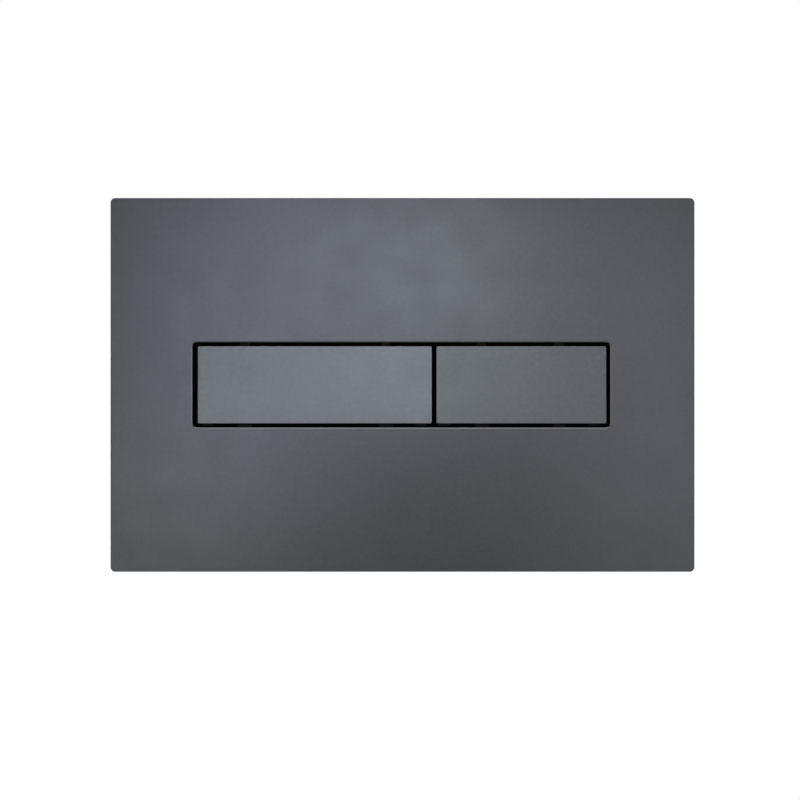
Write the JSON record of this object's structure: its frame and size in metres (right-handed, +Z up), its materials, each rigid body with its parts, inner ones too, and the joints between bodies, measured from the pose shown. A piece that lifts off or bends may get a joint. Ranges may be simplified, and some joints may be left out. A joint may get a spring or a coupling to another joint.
{
  "type": "flush button plate",
  "caption": "Rectangular satin graphite flush plate for a concealed cistern, with a wide and a narrow hinged button in one long opening, sprung push rods and a wall frame.",
  "frame": {"origin": "on the wall plane, midway between the two fixing bolts, at the middle of the plate", "axes": "+X to the viewer's right along the plate, +Y into the wall, +Z up"},
  "size_m": [0.25, 0.0924, 0.16],
  "materials": {
    "cover_finish": "satin graphite lacquer",
    "button_finish": "satin graphite lacquer",
    "carrier_plastic": "moulded black",
    "frame_plastic": "moulded light grey",
    "rod_plastic": "moulded off-white",
    "cap_plastic": "moulded dark grey",
    "bright_steel": "zinc plated",
    "spring_steel": "drawn wire",
    "buffer_rubber": "matt",
    "seal_foam": "closed cell foam"
  },
  "bodies": {
    "plate": {"front_plate": "cover_finish", "button_carrier": "carrier_plastic", "full_flush_hinge_rod": "bright_steel", "half_flush_hinge_rod": "bright_steel", "full_flush_spring": "spring_steel", "half_flush_spring": "spring_steel", "full_flush_buffers": "buffer_rubber", "half_flush_buffers": "buffer_rubber", "mounting_frame": "frame_plastic", "foam_seal": "seal_foam", "fixing_bolt_left": "bright_steel", "fixing_bolt_right": "bright_steel", "bolt_washer_left": "bright_steel", "bolt_washer_right": "bright_steel"},
    "full_button": {"full_flush_button": "button_finish"},
    "half_button": {"half_flush_button": "button_finish"},
    "full_rod": {"full_flush_rod": "rod_plastic", "full_flush_rod_cap": "cap_plastic"},
    "half_rod": {"half_flush_rod": "rod_plastic", "half_flush_rod_cap": "cap_plastic"}
  },
  "joints": [
    {"name": "full_button_hinge", "type": "hinge", "parent": "plate", "child": "full_button", "pos_m": [0, -0.004, 0.0235], "axis": [1, 0, 0], "range_deg": [0, 9], "stiffness_Nm_per_rad": 1.5, "springref_deg": -4.01},
    {"name": "full_rod_slide", "type": "slide", "parent": "plate", "child": "full_rod", "axis": [0, 1, 0], "range_m": [0, 0.005], "deforming": ["full_flush_spring"]},
    {"name": "half_button_hinge", "type": "hinge", "parent": "plate", "child": "half_button", "pos_m": [0, -0.004, 0.0235], "axis": [1, 0, 0], "range_deg": [0, 9], "stiffness_Nm_per_rad": 1.5, "springref_deg": -4.01},
    {"name": "half_rod_slide", "type": "slide", "parent": "plate", "child": "half_rod", "axis": [0, 1, 0], "range_m": [0, 0.005], "deforming": ["half_flush_spring"]}
  ],
  "couplings": [
    {"joint": "full_rod_slide", "follows": "full_button_hinge", "m_per_rad": 0.0315},
    {"joint": "half_rod_slide", "follows": "half_button_hinge", "m_per_rad": 0.0315}
  ]
}
